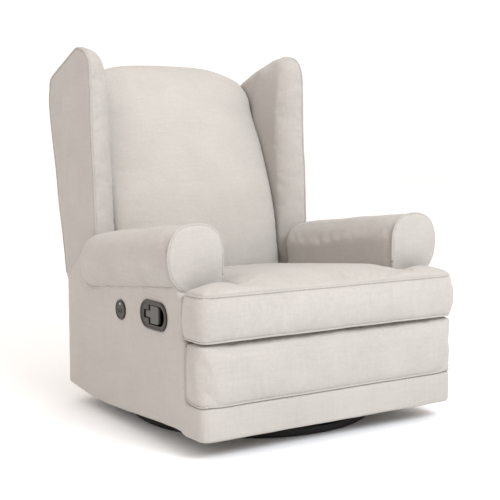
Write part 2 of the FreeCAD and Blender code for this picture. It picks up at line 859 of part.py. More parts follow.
# ---- release handle ----
def handle_bezel():
    face = -body_half_width
    inner_length = bezel_length - 2 * bezel_rim
    inner_height = bezel_height - 2 * bezel_rim
    flange = stadium(face - bezel_lip, face, bezel_y, bezel_z, bezel_length, bezel_height)
    sleeve = stadium(face, face + cup_depth, bezel_y, bezel_z, inner_length + 2 * cup_wall,
                     inner_height + 2 * cup_wall)
    hollow = stadium(face - bezel_lip - 1, face + cup_depth - cup_wall, bezel_y, bezel_z,
                     inner_length, inner_height)
    front_half = block(face - bezel_lip - 1, face, bezel_y - bezel_length, lever_front() + 4,
                       bezel_z - bezel_height, bezel_z + bezel_height)
    slot = block(face - bezel_lip - 1, face, lever_front(), lever_pivot_y + bezel_slot_rear,
                 bezel_z - bezel_slot_height / 2, bezel_z + bezel_slot_height / 2)
    behind = block(face, face + cup_depth, bezel_y - bezel_length, bezel_y + bezel_length,
                   bezel_z - bezel_height, bezel_z + bezel_height)
    opening = hollow.common(front_half.fuse(slot).fuse(behind))
    cup = flange.fuse(sleeve).removeSplitter().cut(opening)
    pin_x = face + lever_pivot_inset
    half = lever_pin_half()
    return cup.cut(rod_z(bezel_z - half, bezel_z + half, pin_x, lever_pivot_y, lever_pin_radius))


def lever_front():
    """Rear edge of the paddle, where the stem runs into it."""
    return lever_pivot_y - lever_stem_length


def lever_pin_half():
    """Half the cup's height at the lever's pivot, and a seat in the cup's wall."""
    radius = bezel_height / 2 - bezel_rim
    arc_centre = bezel_y + bezel_length / 2 - bezel_rim - radius
    return math.sqrt(radius ** 2 - (lever_pivot_y - arc_centre) ** 2) + cup_wall / 2


def handle_pin():
    half = lever_pin_half()
    return rod_z(bezel_z - half, bezel_z + half, -body_half_width + lever_pivot_inset,
                 lever_pivot_y, lever_pin_radius)


def release_lever():
    pin_x = -body_half_width + lever_pivot_inset
    front_x = -body_half_width - 1
    stem_half = lever_stem_height / 2
    stem = block(front_x, front_x + lever_thickness, lever_front(), lever_pivot_y,
                 bezel_z - stem_half, bezel_z + stem_half)
    paddle = block(front_x, front_x + lever_thickness, lever_front() - lever_paddle_width,
                   lever_front(), bezel_z - lever_paddle_height / 2,
                   bezel_z + lever_paddle_height / 2)
    corners = [e for e in paddle.Edges if abs(e.BoundBox.XLength - lever_thickness) < 0.01
               and e.BoundBox.YMin < lever_front() - 1]
    paddle = paddle.makeFillet(8.0, corners)
    root = block(front_x, pin_x, lever_pivot_y - lever_barrel_radius, lever_pivot_y,
                 bezel_z - stem_half, bezel_z + stem_half)
    barrel = rod_z(bezel_z - stem_half, bezel_z + stem_half, pin_x, lever_pivot_y, lever_barrel_radius)
    lever = stem.fuse(paddle).fuse(root).fuse(barrel).removeSplitter()
    return lever.cut(rod_z(bezel_z - 40, bezel_z + 40, pin_x, lever_pivot_y,
                           lever_pin_radius + running_gap))


def lever_spring():
    pin_x = -body_half_width + lever_pivot_inset
    start = bezel_z + lever_stem_height / 2 + 1.2
    coils = [Part.makeTorus(3.2, 0.7, V(pin_x, lever_pivot_y, start + 1.6 * i)) for i in range(4)]
    return Part.makeCompound(coils)


def cable_route():
    side = -body_half_width
    inner = -mechanism_inner + 15
    return [(side + cup_depth, -130, 318), (side + 44, -130, 318), (side + 65, -128, 316),
            (side + 87, -123, 308), (side + 107, -115, 296), (inner - 4, -104, 280),
            (inner, -90, 263), (inner, -72, 252), (inner, latch_front, 252)]


def latch_housing():
    return block(-mechanism_inner, -mechanism_inner + 26, latch_front, latch_front + 60, 238, 264)


# ---- charging port ----
def port_bezel():
    face = -body_half_width
    disc = rod_x(face - port_lip, face, port_y, port_z, port_radius)
    disc = disc.makeFillet(1.6, [e for e in disc.Edges if abs(e.BoundBox.XMin - face + port_lip) < 0.01
                                 and e.BoundBox.XLength < 0.01])
    body = disc.fuse(rod_x(face, face + port_depth, port_y, port_z, port_barrel_radius))
    plug = block(face + port_depth, face + port_depth + 16, port_y - 8, port_y + 8,
                 port_plug_bottom, port_z - 5)
    body = body.fuse(plug).removeSplitter()
    for side in (-1, 1):
        y = port_y + side * socket_pitch / 2
        body = body.cut(block(face - port_lip - 1, face + 14, y - socket_height / 2,
                              y + socket_height / 2, port_z - 3 - socket_width / 2,
                              port_z - 3 + socket_width / 2))
    return body.cut(rod_x(face - port_lip - 1, face - port_lip + 4, port_y, port_z + 16, led_radius))


def port_sockets():
    face = -body_half_width
    tongues = []
    for side in (-1, 1):
        y = port_y + side * socket_pitch / 2
        tongues.append(block(face - port_lip + 1.5, face + 14, y - 1.0, y + 1.0,
                             port_z - 3 - socket_width / 2 + 1, port_z - 3 + socket_width / 2 - 1))
    return Part.makeCompound(tongues)


def port_light():
    face = -body_half_width
    return rod_x(face - port_lip - 0.3, face - port_lip + 4, port_y, port_z + 16, led_radius)


def power_inlet():
    body = rod_y(body_rear - inlet_depth, body_rear, inlet_x, inlet_z, inlet_radius)
    body = body.fuse(rod_y(body_rear, body_rear + inlet_lip, inlet_x, inlet_z, inlet_lip_radius))
    body = body.removeSplitter()
    body = body.cut(rod_y(body_rear - 12, body_rear + inlet_lip + 1, inlet_x, inlet_z, inlet_bore))
    return body.fuse(rod_y(body_rear - 12, body_rear, inlet_x, inlet_z, 1.0)).removeSplitter()


def port_lead_route():
    foot = port_plug_bottom
    side = 36 - body_half_width
    end = body_rear - inlet_depth
    return [(side, port_y, foot), (side, port_y, foot - 20), (side + 1, port_y + 8, foot - 44),
            (side + 2, port_y + 26, foot - 66), (side + 3, port_y + 55, foot - 90),
            (side + 4, port_y + 95, foot - 110), (side + 6, port_y + 140, foot - 128),
            (side + 11, port_y + 185, foot - 147), (side + 22, port_y + 226, foot - 166),
            (side + 38, port_y + 262, foot - 182), (side + 58, port_y + 292, foot - 196),
            (inlet_x, end - 24, inlet_z), (inlet_x, end, inlet_z)]


save("base_foot_ring", base_foot_ring())
save("base_ring", base_ring())
save("base_spokes", base_spokes())
save("base_hub", base_hub())
save("swivel_lower_race", swivel_race(hub_top))
save("swivel_balls", Part.makeCompound(swivel_balls(ball_radius)))
save("swivel_cage", swivel_cage())
save("swivel_bolt", swivel_bolt())
save("swivel_upper_race", swivel_race(hub_top + race_height + race_gap))
save("turntable_plate", turntable_plate())
save("hanger_frames", pair(hanger_frame()))
save("hanger_pins", hanger_pins())
save("front_swing_links", swing_links(-swing_y))
save("rear_swing_links", swing_links(swing_y))
save("carriage_plates", pair(carriage_plate()))
save("chassis_pins", chassis_pins())

save("side_rails", pair(side_rail()))
save("end_rails", Part.makeCompound([front_rail(), rear_rail()]))
save("cross_rails", cross_rails())
save("seat_springs", seat_springs())
save("frame_blocks", frame_blocks())
save("left_side_panel", left_side_panel())
save("right_side_panel", on_right(side_panel()))
save("front_plinth", front_plinth())
save("rear_panel", rear_panel())
save("seat_cushion", seat_cushion())

cable = smooth_tube(cable_route(), cable_diameter, "release cable")
board_hole = rod_x(-arm_board_inner - arm_board_thickness - 1, -arm_board_inner + 1, -128, 316,
                   cable_hole_radius)
save("arm_boards", Part.makeCompound([arm_board().cut(board_hole), on_right(arm_board())]))
save("left_arm_pad", arm_pad())
save("right_arm_pad", on_right(arm_pad()))
save("arm_front_panels", pair(arm_front_panel()))

save("back_posts", pair(back_post()))
save("back_rails", back_rails())
save("back_springs", back_springs())
save("back_pad", back_pad())
save("back_outer_panel", back_outer_panel())
save("left_wing", wing())
save("right_wing", on_right(wing()))
save("wing_boards", pair(wing_board(0)))
save("recline_ears", pair(recline_ear()))
save("recline_brackets", pair(recline_bracket()))

save("mechanism_plates", pair(mechanism_plate()))
save("lower_links", lower_links())
save("torque_tube", torque_tube())
save("knee_pins", knee_pins())
save("upper_links", upper_links())
save("footrest_pins", footrest_pins())
save("footrest_brackets", pair(footrest_bracket()))
save("footrest_board", footrest_board(0))
save("footrest_pad", footrest_pad())

save("handle_bezel", handle_bezel())
save("handle_pin", handle_pin())
save("release_lever", release_lever())
save("lever_spring", lever_spring())
save("release_cable", cable)
save("latch_housing", latch_housing())

save("port_bezel", port_bezel())
save("port_sockets", port_sockets())
save("port_light", port_light())
save("port_lead", smooth_tube(port_lead_route(), cable_diameter, "port lead"))
save("power_inlet", power_inlet())
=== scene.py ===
import math
import bmesh
import bpy
import numpy as np
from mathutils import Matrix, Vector
from mathutils.bvhtree import BVHTree
from mathutils.kdtree import KDTree


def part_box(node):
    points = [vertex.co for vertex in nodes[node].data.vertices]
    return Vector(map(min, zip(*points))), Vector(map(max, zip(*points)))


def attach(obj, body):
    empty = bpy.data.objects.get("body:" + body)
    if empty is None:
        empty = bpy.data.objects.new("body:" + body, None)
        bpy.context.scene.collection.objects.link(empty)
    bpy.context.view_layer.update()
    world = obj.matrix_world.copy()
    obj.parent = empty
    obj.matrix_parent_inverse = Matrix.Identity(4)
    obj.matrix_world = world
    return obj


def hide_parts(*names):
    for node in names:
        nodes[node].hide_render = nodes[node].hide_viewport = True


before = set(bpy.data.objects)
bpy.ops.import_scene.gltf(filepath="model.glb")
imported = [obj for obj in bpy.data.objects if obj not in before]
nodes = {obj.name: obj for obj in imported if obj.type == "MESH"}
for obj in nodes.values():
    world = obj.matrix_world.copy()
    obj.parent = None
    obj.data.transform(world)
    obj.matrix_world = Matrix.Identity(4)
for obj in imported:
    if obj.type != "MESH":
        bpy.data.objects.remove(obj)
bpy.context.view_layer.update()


# ---- studio ----
# A white seamless floor and backdrop, one large soft light high in front, a weaker warm one
# on the left, and an even warm white surround. The key light is a little cooler than the surround.
camera = bpy.data.objects.new("camera", bpy.data.cameras.new("camera"))
bpy.context.scene.collection.objects.link(camera)
camera.data.lens = 77.9
camera.location = (-1.7336, -2.6642, 0.8052)
camera.rotation_euler = (math.pi / 2 - 0.1046, 0, -0.5756)
bpy.context.scene.camera = camera
bpy.context.scene.view_settings.view_transform = "Standard"

surround = bpy.data.worlds.new("surround")
surround.use_nodes = True
surround.node_tree.nodes["Background"].inputs["Color"].default_value = (1, 0.938, 0.894, 1)
surround.node_tree.nodes["Background"].inputs["Strength"].default_value = 1.15
bpy.context.scene.world = surround


def soft_light(name, place, size, watts, tint=(1, 1, 1)):
    light = bpy.data.objects.new(name, bpy.data.lights.new(name, "AREA"))
    bpy.context.scene.collection.objects.link(light)
    light.data.shape = "DISK"
    light.data.size = size
    light.data.energy = watts
    light.data.color = tint
    light.location = place
    chair_middle = Vector((0, 0.05, 0.5))
    light.rotation_euler = (chair_middle - Vector(place)).to_track_quat("-Z", "Y").to_euler()


soft_light("key_light", (0.35, -3.5, 3.2), 2.2, 146, (0.88, 0.94, 1))
soft_light("fill_light", (-3.2, -2.2, 2.2), 3.0, 18, (1, 0.96, 0.92))


class Sock:
    """One output of a shader node. Arithmetic on it adds the maths nodes."""

    def __init__(self, shade, socket):
        self.shade = shade
        self.socket = socket

    def maths(self, operation, first, second):
        pair = [first, second]
        if any(isinstance(v, Sock) and v.socket.type in ("VECTOR", "RGBA") for v in pair):
            pair = [(v, v, v) if isinstance(v, (int, float)) else v for v in pair]
            return self.shade.node("ShaderNodeVectorMath", {"operation": operation}, dict(enumerate(pair)))
        return self.shade.node("ShaderNodeMath", {"operation": operation}, dict(enumerate(pair)))

    def __add__(self, other):
        return self.maths("ADD", self, other)

    def __radd__(self, other):
        return self.maths("ADD", other, self)

    def __sub__(self, other):
        return self.maths("SUBTRACT", self, other)

    def __rsub__(self, other):
        return self.maths("SUBTRACT", other, self)

    def __mul__(self, other):
        return self.maths("MULTIPLY", self, other)

    def __rmul__(self, other):
        return self.maths("MULTIPLY", other, self)

    def __truediv__(self, other):
        return self.maths("DIVIDE", self, other)

    def __pow__(self, other):
        return self.maths("POWER", self, other)

    def sine(self):
        return self.maths("SINE", self, 0.0)

    def size(self):
        return self.maths("ABSOLUTE", self, 0.0)

    def mix(self, low, high):
        return self.shade.node("ShaderNodeMix", {"data_type": "RGBA"}, {0: self, 6: low, 7: high}, 2)


class Shade:
    """A material built up from nodes, ending in one Principled shader."""

    def __init__(self, name, **constants):
        self.material = bpy.data.materials.new(name)
        self.material.use_nodes = True
        self.tree = self.material.node_tree
        self.shader = self.tree.nodes["Principled BSDF"]
        for key, value in constants.items():
            self.shader.inputs[key.replace("_", " ")].default_value = value

    def node(self, kind, settings, inputs, output=0):
        made = self.tree.nodes.new(kind)
        for key, value in settings.items():
            setattr(made, key, value)
        for key, value in inputs.items():
            if isinstance(value, Sock):
                self.tree.links.new(value.socket, made.inputs[key])
            else:
                made.inputs[key].default_value = value
        return Sock(self, made.outputs[output])

    def place(self, *stretch):
        """Places on the piece, in metres times stretch."""
        return self.node("ShaderNodeTexCoord", {}, {}, "Object") * (stretch or 1.0)

    def noise(self, place, scale, detail=2.0):
        return self.node("ShaderNodeTexNoise", {}, {"Vector": place, "Scale": scale, "Detail": detail})

    def bump(self, height, distance, strength=1.0, under=None):
        inputs = {"Height": height, "Distance": distance, "Strength": strength}
        if under:
            inputs["Normal"] = under
        return self.node("ShaderNodeBump", {}, inputs)

    def wire(self, key, value):
        self.tree.links.new(value.socket, self.shader.inputs[key])


floor_reach = 14.0
floor_mesh = bpy.data.meshes.new("floor")
floor_edge = [(x * floor_reach, y * floor_reach, 0.0) for x, y in ((-1, -1), (1, -1), (1, 1), (-1, 1))]
floor_mesh.from_pydata(floor_edge, [], [(0, 1, 2, 3)])
floor = bpy.data.objects.new("floor", floor_mesh)
bpy.context.scene.collection.objects.link(floor)
shade = Shade("floor_paint", Base_Color=(0.94, 0.95, 0.965, 1), Roughness=0.6)
shade.wire("Roughness", 0.55 + 0.1 * shade.noise(shade.place(), 3.0))
floor_mesh.materials.append(shade.material)


# ---- floor base, swivel and glider mechanism ----
# Pressed and welded mild steel, matt black powder coat with a fine orange peel; the pins,
# races, balls and springs are bare bright steel, and a rubber ring is glued under the floor ring.
def finish(material, *names):
    for name in names:
        slots = nodes[name].data.materials
        slots.clear()
        slots.append(material)


shade = Shade("powder_coat", Metallic=0.0, Specular_IOR_Level=0.2)
grain = shade.noise(shade.place(), 900.0, 3.0)
wear = shade.noise(shade.place(), 18.0, 4.0)
shade.wire("Base Color", wear.mix((0.005, 0.005, 0.005, 1), (0.011, 0.010, 0.010, 1)))
shade.wire("Roughness", 0.42 + 0.22 * wear)
shade.wire("Normal", shade.bump(grain, 0.00012, 0.6))
finish(shade.material, "base_ring", "base_spokes", "base_hub", "turntable_plate", "hanger_frames",
       "front_swing_links", "rear_swing_links", "carriage_plates", "mechanism_plates", "lower_links",
       "upper_links", "torque_tube", "footrest_brackets", "recline_ears", "recline_brackets",
       "latch_housing")

shade = Shade("bright_steel", Metallic=1.0)
turned = shade.noise(shade.place(2600.0, 160.0, 160.0), 1.0, 3.0)
stain = shade.noise(shade.place(), 35.0, 3.0)
shade.wire("Base Color", stain.mix((0.52, 0.52, 0.53, 1), (0.66, 0.66, 0.66, 1)))
shade.wire("Roughness", 0.22 + 0.2 * turned)
shade.wire("Normal", shade.bump(turned, 0.00005, 0.4))
finish(shade.material, "swivel_lower_race", "swivel_upper_race", "swivel_balls", "swivel_bolt",
       "hanger_pins", "chassis_pins", "seat_springs", "back_springs", "handle_pin", "lever_spring",
       "knee_pins", "footrest_pins")

shade = Shade("foot_rubber", Specular_IOR_Level=0.3)
dust = shade.noise(shade.place(), 60.0, 5.0)
shade.wire("Base Color", dust.mix((0.018, 0.018, 0.018, 1), (0.045, 0.044, 0.042, 1)))
shade.wire("Roughness", 0.75 + 0.2 * dust)
shade.wire("Normal", shade.bump(shade.noise(shade.place(), 1500.0), 0.0001, 0.5))
finish(shade.material, "base_foot_ring")


# ---- wooden frame ----
# Sawn hardwood rails and plywood boards, glued and stapled, left bare inside the upholstery.
def wood(name, along):
    """along holds the stretch of the grain, small along the boards' length."""
    shade = Shade(name)
    rings = shade.noise(shade.place(*along), 1.0, 4.0)
    fibre = shade.noise(shade.place(*[a * 9 for a in along]), 1.0, 3.0)
    streak = (rings * 9.0).sine().size()
    tone = streak * 0.45 + fibre * 0.55
    shade.wire("Base Color", tone.mix((0.42, 0.27, 0.14, 1), (0.66, 0.48, 0.29, 1)))
    shade.wire("Roughness", 0.6 + 0.25 * fibre)
    shade.wire("Normal", shade.bump(fibre, 0.0004, 0.5))
    return shade.material


finish(wood("wood_front_to_rear", (14.0, 1.6, 14.0)), "side_rails", "frame_blocks", "arm_boards")
finish(wood("wood_across", (1.6, 14.0, 14.0)), "end_rails", "cross_rails", "back_rails", "footrest_board")
finish(wood("wood_upright", (14.0, 14.0, 1.6)), "back_posts", "wing_boards")


# ---- upholstery fabric ----
# Off-white linen-look polyester: plain weave at about 1.6 mm with slubs along both threads,
# a soft matt face with a little sheen, and faint mottling where the pile lies differently.
def slubs(shade, along, across, detail):
    """Noise drawn out along each axis in turn, and mixed evenly."""
    runs = [shade.noise(shade.place(*[along if k == axis else across for k in range(3)]), 1.0, detail)
            for axis in range(3)]
    return (runs[0] + runs[1] + runs[2]) / 3.0


def fabric(name, tint):
    two_threads = 0.0032
    shade = Shade(name, Sheen_Weight=0.18, Sheen_Roughness=0.45, Specular_IOR_Level=0.18)
    thread = (shade.place() * (2 * math.pi / two_threads)).sine()
    split = {axis: shade.node("ShaderNodeSeparateXYZ", {}, {0: thread}, axis) for axis in "XYZ"}
    facing = shade.node("ShaderNodeTexCoord", {}, {}, "Normal")
    lean = {axis: shade.node("ShaderNodeSeparateXYZ", {}, {0: facing}, axis).size() ** 3.0
            for axis in "XYZ"}
    over_under = (split["Y"] * split["Z"] * lean["X"] + split["X"] * split["Z"] * lean["Y"]
                  + split["X"] * split["Y"] * lean["Z"])
    slub = slubs(shade, 60.0, 620.0, 3.0)
    thick = slubs(shade, 15.0, 190.0, 2.0)
    mottle = shade.noise(shade.place(), 9.0, 4.0)
    fleck = shade.noise(shade.place(), 260.0, 3.0)
    tone = 0.7 * slub + 0.95 * thick + 0.55 * mottle + 0.2 * fleck - 0.7
    pale = tuple(min(1.0, c * 1.17) for c in tint) + (1,)
    deep = tuple(c * 0.83 for c in tint) + (1,)
    shade.wire("Base Color", (tone + 0.035 * over_under).mix(deep, pale))
    shade.wire("Roughness", 0.82 + 0.14 * slub)
    weave = shade.bump(over_under * 0.5 + slub * 1.4, 0.0006, 0.55)
    shade.wire("Normal", shade.bump(mottle + 0.4 * fleck, 0.0012, 0.35, weave))
    return shade.material


linen = fabric("linen_weave", (0.397, 0.376, 0.350))
# The piping uses the same cloth tinted a little darker. This is painted shade for the dark line that
# shadow draws along each seam.
piping_linen_painted_shade = fabric("linen_piping_painted_shade", (0.382, 0.361, 0.335))


# ---- body sides, plinth and rear ----
# One padded cover stapled round the wooden body: fabric over 25 mm of foam and board, rounded
# at the front corners, with a hem that sags a little between its staples.
def rounded(corners, radius, steps=6):
    """A closed outline with its corners rounded. A corner may carry its own radius."""
    points = []
    count = len(corners)
    for i, corner in enumerate(corners):
        here = np.array(corner[:2], float)
        reach = corner[2] if len(corner) > 2 else radius
        before = np.array(corners[i - 1][:2], float) - here
        after = np.array(corners[(i + 1) % count][:2], float) - here
        long_before, long_after = np.linalg.norm(before), np.linalg.norm(after)
        half = math.acos(np.clip(before @ after / (long_before * long_after), -1, 1)) / 2
        if reach < 1e-5 or half > math.pi / 2 - 0.02:
            points.append(tuple(here))
            continue
        setback = min(reach / math.tan(half), 0.48 * long_before, 0.48 * long_after)
        start = here + before / long_before * setback
        end = here + after / long_after * setback
        for step in range(steps + 1):
            t = step / steps
            points.append(tuple((1 - t) ** 2 * start + 2 * t * (1 - t) * here + t * t * end))
    return points


def prism(bm, outline, axis, low, high):
    """A closed outline pushed along an axis: (y, z) along x, (x, z) along y, (x, y) along z."""
    def at(p, level):
        place = list(p)
        place.insert("xyz".index(axis), level)
        return place
    loops = [[bm.verts.new(at(p, level)) for p in outline] for level in (low, high)]
    count = len(outline)
    bm.faces.new(loops[0])
    bm.faces.new(loops[1][::-1])
    for i in range(count):
        j = (i + 1) % count
        bm.faces.new((loops[0][j], loops[0][i], loops[1][i], loops[1][j]))


def solid(name, build, material):
    bm = bmesh.new()
    build(bm)
    bmesh.ops.recalc_face_normals(bm, faces=bm.faces)
    mesh = bpy.data.meshes.new(name)
    bm.to_mesh(mesh)
    bm.free()
    made = bpy.data.objects.new(name, mesh)
    bpy.context.scene.collection.objects.link(made)
    mesh.materials.append(material)
    return made


def bake(piece):
    """Puts the piece's modifiers into its mesh."""
    view = bpy.context.evaluated_depsgraph_get()
    mesh = bpy.data.meshes.new_from_object(piece.evaluated_get(view))
    piece.modifiers.clear()
    old = piece.data
    material = old.materials[0]
    piece.data = mesh
    bpy.data.meshes.remove(old)
    mesh.materials.clear()
    mesh.materials.append(material)


def soften(piece, voxel, turns, factor=0.5):
    """An even mesh of that voxel size, with its edges worn round."""
    remesh = piece.modifiers.new("remesh", "REMESH")
    remesh.mode = "VOXEL"
    remesh.voxel_size = voxel
    smooth = piece.modifiers.new("smooth", "SMOOTH")
    smooth.iterations = turns
    smooth.factor = factor
    bake(piece)
    piece.data.shade_smooth()


def points(piece):
    co = np.empty(len(piece.data.vertices) * 3)
    piece.data.vertices.foreach_get("co", co)
    return co.reshape(-1, 3)


def put(piece, co):
    piece.data.vertices.foreach_set("co", np.ascontiguousarray(co).ravel())
    piece.data.update()


def directions(piece):
    out = np.empty(len(piece.data.vertices) * 3)
    piece.data.vertices.foreach_get("normal", out)
    return out.reshape(-1, 3)


def ripple(co, size, seed, waves=14):
    """Even soft unevenness, from -1 to 1, with about that size between its crests."""
    draw = np.random.default_rng(seed)
    total = np.zeros(len(co))
    for _ in range(waves):
        way = draw.normal(size=3)
        way *= 2 * math.pi / (size * draw.uniform(0.7, 1.8)) / np.linalg.norm(way)
        total += np.sin(co @ way + draw.uniform(0, 6.28))
    return total / math.sqrt(waves) / 1.5


def dents(piece, depth, size, seed):
    co = points(piece)
    put(piece, co + directions(piece) * (depth * ripple(co, size, seed))[:, None])


def near(co, path, reach):
    """How near each point is to a path: 1 on it, 0 beyond reach."""
    tree = KDTree(len(path))
    for i, p in enumerate(path):
        tree.insert(p, i)
    tree.balance()
    gap = np.array([tree.find(p)[2] for p in co])
    return np.clip(1 - gap / reach, 0, 1)


def crease(piece, path, depth, reach):
    """Pulls the cloth in beside a seam."""
    co = points(piece)
    pull = near(co, path, reach)
    put(piece, co - directions(piece) * (depth * pull * pull * (3 - 2 * pull))[:, None])


def smooth_path(corners, step=0.004, closed=False):
    """Even points on a smooth line through the corners."""
    p = np.array(corners, float)
    count = len(p)
    ends = range(count if closed else count - 1)
    out = []
    for i in ends:
        if closed:
            a, b, c, d = p[i - 1], p[i], p[(i + 1) % count], p[(i + 2) % count]
        else:
            a, b, c, d = p[max(i - 1, 0)], p[i], p[i + 1], p[min(i + 2, count - 1)]
        pieces = max(2, int(np.linalg.norm(c - b) / step))
        for k in range(pieces):
            t = k / pieces
            out.append(0.5 * (2 * b + (c - a) * t + (2 * a - 5 * b + 4 * c - d) * t * t
                              + (3 * b - a - 3 * c + d) * t ** 3))
    if not closed:
        out.append(p[-1])
    return np.array(out)


def welt(name, path, surface, body, radius=0.0029, lift=0.0016):
    """A fabric-covered cord sewn into a seam: it lies on the surface that the path runs along."""
    tree = BVHTree.FromPolygons([v.co for v in surface.data.vertices],
                                [tuple(f.vertices) for f in surface.data.polygons])
    line = []
    for p in path:
        place, way, _, gap = tree.find_nearest(Vector(p))
        line.append(np.array(place + way * lift))
    line = np.array(line)
    for _ in range(4):
        inner = (line[:-2] + line[1:-1] + line[2:]) / 3
        line = np.vstack([line[:1], inner, line[-1:]])
    sides = 10
    run = np.gradient(line, axis=0)
    run /= np.linalg.norm(run, axis=1)[:, None] + 1e-12
    up = np.array([0.37, 0.21, 0.9])
    verts = []
    for p, t in zip(line, run):
        up = up - t * (up @ t)
        up /= np.linalg.norm(up)
        side = np.cross(t, up)
        for k in range(sides):
            turn = 2 * math.pi * k / sides
            verts.append(p + radius * (math.cos(turn) * up + math.sin(turn) * side))
    faces = []
    count = len(line)
    for i in range(count - 1):
        for k in range(sides):
            m = (k + 1) % sides
            faces.append((i * sides + k, i * sides + m, (i + 1) * sides + m, (i + 1) * sides + k))
    faces.append(tuple(range(sides))[::-1])
    faces.append(tuple(range((count - 1) * sides, count * sides)))
    mesh = bpy.data.meshes.new(name)
    mesh.from_pydata([tuple(v) for v in verts], [], faces)
    mesh.materials.append(piping_linen_painted_shade)
    mesh.shade_smooth()
    made = bpy.data.objects.new(name, mesh)
    bpy.context.scene.collection.objects.link(made)
    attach(made, body)
    return made


def puff(piece, cap, pinned, pressure=4.0):
    """Fills the piece with air under a cloth simulation. Points in pinned stay, the others
    move by no more than cap."""
    start = points(piece)
    held = piece.vertex_groups.new(name="held")
    for i in np.nonzero(pinned > 0.02)[0]:
        held.add([int(i)], float(pinned[i]), "REPLACE")
    cloth = piece.modifiers.new("cloth", "CLOTH")
    cloth.settings.quality = 3
    cloth.settings.mass = 0.3
    cloth.settings.tension_stiffness = 8
    cloth.settings.compression_stiffness = 8
    cloth.settings.bending_stiffness = 0.6
    cloth.settings.shrink_min = -0.02
    cloth.settings.use_pressure = True
    cloth.settings.uniform_pressure_force = pressure
    cloth.settings.vertex_group_mass = "held"
    cloth.settings.effector_weights.gravity = 0
    last_step = 14
    cloth.point_cache.frame_start = 1
    cloth.point_cache.frame_end = last_step
    for step in range(1, last_step + 1):
        bpy.context.scene.frame_set(step)
    bake(piece)
    piece.vertex_groups.clear()
    bpy.context.scene.frame_set(1)
    moved = points(piece) - start
    length = np.linalg.norm(moved, axis=1)
    keep = np.where(length > 1e-9, cap * np.tanh(length / cap) / np.maximum(length, 1e-9), 1.0)
    put(piece, start + moved * keep[:, None])


def settle(piece, turns, factor=0.5, finer=0):
    if finer:
        piece.modifiers.new("finer", "SUBSURF").levels = finer
    smooth = piece.modifiers.new("smooth", "SMOOTH")
    smooth.iterations = turns
    smooth.factor = factor
    bake(piece)
    piece.data.shade_smooth()


def soft(piece, body, fill, *replaced):
    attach(piece, body)
    if replaced:
        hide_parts(*replaced)


side_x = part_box("right_side_panel")[1].x
side_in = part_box("right_side_panel")[0].x
front_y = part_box("front_plinth")[0].y
rear_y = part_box("rear_panel")[1].y
footrest_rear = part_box("footrest_pad")[1].y
seat_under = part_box("seat_cushion")[0].z
plinth_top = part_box("front_plinth")[1].z
bezel_low, bezel_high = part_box("handle_bezel")
port_low, port_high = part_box("port_bezel")


arm_fall = 0.111
seat_fall = 0.0988
hem_front = 0.0475


def roll_under(y):
    """Lower edge of the arm roll, which falls towards the rear."""
    return 0.425 - arm_fall * (y + 0.3055)


def body_sides(bm):
    hem = smooth_path([(0, rear_y, 0.052), (0, 0.3125, 0.045), (0, 0.2405, 0.039), (0, 0.1575, 0.037),
                       (0, 0.0395, 0.040), (0, -0.1535, 0.051), (0, -0.2845, 0.056),
                       (0, -0.3265, 0.052), (0, front_y + 0.03, 0.050)], 0.02)
    outline = [tuple(p[1:]) for p in hem]
    outline += [(front_y + 0.03, plinth_top), (footrest_rear + 0.002, plinth_top),
                (footrest_rear + 0.002, seat_under - 0.002), (-0.318, seat_under - 0.002),
                (-0.318, 0.404), (-0.302, 0.408), (-0.298, roll_under(-0.298) + 0.010),
                (0.225, roll_under(0.225) + 0.010), (0.246, 0.40), (0.25, 0.478), (0.268, 0.482),
                (rear_y, 0.38)]
    prism(bm, outline, "x", side_in, side_x)
    prism(bm, outline, "x", -side_x, -side_in)
    deep = front_y + 0.018
    band = rounded([(-side_x, footrest_rear + 0.02, 0), (-side_x, front_y, 0.028),
                    (side_x, front_y, 0.028), (side_x, footrest_rear + 0.02, 0),
                    (side_in, footrest_rear + 0.02, 0), (side_in, deep, 0.008),
                    (-side_in, deep, 0.008), (-side_in, footrest_rear + 0.02, 0)], 0.0, 8)
    prism(bm, band, "z", hem_front, plinth_top + 0.003)
    prism(bm, [(-side_x, 0.052), (side_x, 0.052), (side_x, 0.3), (-side_x, 0.3)], "y",
          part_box("rear_panel")[0].y, rear_y)


def capsule(length, height, middle, steps=14):
    """A slot's outline in (y, z), round at both ends."""
    radius = height / 2
    half = length / 2 - radius
    out = []
    for side in (1, -1):
        for k in range(steps + 1):
            turn = math.pi * (k / steps - 0.5) if side > 0 else math.pi * (k / steps + 0.5)
            out.append((middle[0] + side * half + radius * math.cos(turn),
                        middle[1] + radius * math.sin(turn)))
    return out


def cut_away(piece, cutter):
    cut = piece.modifiers.new("cut", "BOOLEAN")
    cut.object = cutter
    cut.solver = "EXACT"
    bake(piece)
    bpy.data.objects.remove(cutter)


bezel_mid = ((bezel_low.y + bezel_high.y) / 2, (bezel_low.z + bezel_high.z) / 2)
port_mid = ((port_low.y + port_high.y) / 2, (bezel_low.z + bezel_high.z) / 2 - 0.011)


def side_holes(bm):
    prism(bm, capsule(0.127, 0.058, bezel_mid), "x", -side_x - 0.03, -side_in + 0.03)
    disc = capsule(0.0440001, 0.044, port_mid)
    prism(bm, disc, "x", -side_x - 0.03, -side_in + 0.03)


